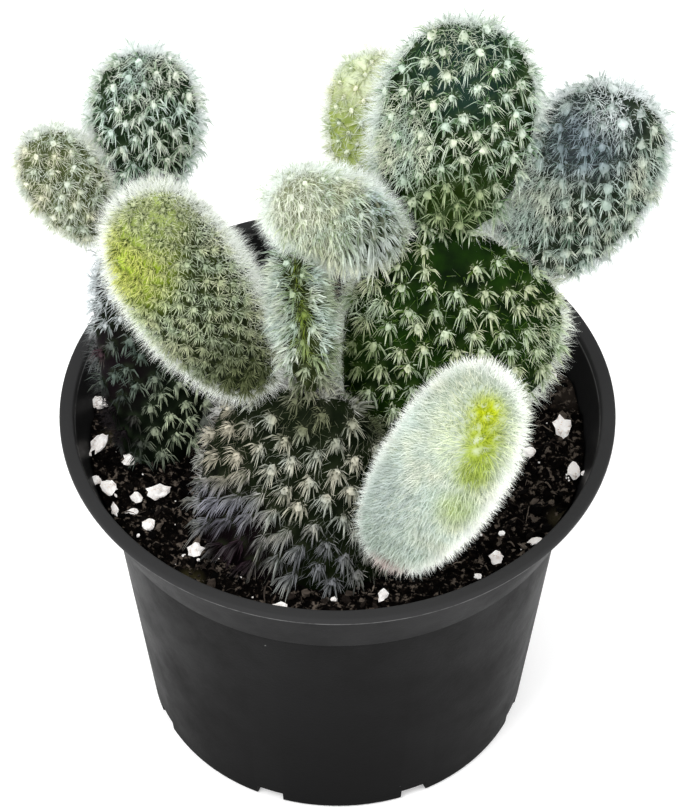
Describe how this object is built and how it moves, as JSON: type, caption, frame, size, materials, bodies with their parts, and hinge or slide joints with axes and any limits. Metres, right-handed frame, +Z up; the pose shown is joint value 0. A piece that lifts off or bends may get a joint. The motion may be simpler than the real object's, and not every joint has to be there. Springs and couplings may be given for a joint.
{
  "type": "potted bunny ears cactus",
  "caption": "Small clump of bunny ears cactus pads, covered in woolly tufts, standing in potting mix in a round black plastic nursery pot.",
  "frame": {"origin": "centre of the pot's flat underside, on the surface that the pot stands on", "axes": "+Z up along the pot's axis, +X to the viewer's right, -Y towards the viewer of the plant's best side"},
  "size_m": [0.104, 0.09, 0.1367],
  "materials": {
    "pot": "satin black moulded polypropylene",
    "soil": "damp peat mix with perlite",
    "pad_front": "waxy green skin with large grey drooping tufts",
    "pad_main": "waxy deep green skin with white drooping tufts",
    "pad_left_ear": "yellow green skin under dense pale wool",
    "pad_edge_on": "light green skin with bluish white wool",
    "pad_top_ear": "waxy dark green skin with star shaped tufts",
    "pad_right_ear": "bluish green skin with close white tufts",
    "pad_small_front": "young skin under dense cream wool",
    "pad_small_rear": "young yellow green skin with pale wool",
    "pad_new_wool": "new pad all but hidden by white wool",
    "pad_rear_base": "dark green skin with star shaped tufts",
    "pad_rear_top": "dark green skin with star shaped tufts",
    "pad_rear_small": "olive skin with close pale tufts"
  },
  "bodies": {
    "root": {"pot": "pot", "soil": "soil", "pad_front": "pad_front", "pad_main": "pad_main", "pad_left_ear": "pad_left_ear", "pad_edge_on": "pad_edge_on", "pad_top_ear": "pad_top_ear", "pad_right_ear": "pad_right_ear", "pad_small_front": "pad_small_front", "pad_small_rear": "pad_small_rear", "pad_new_wool": "pad_new_wool", "pad_rear_base": "pad_rear_base", "pad_rear_top": "pad_rear_top", "pad_rear_small": "pad_rear_small"}
  },
  "joints": []
}
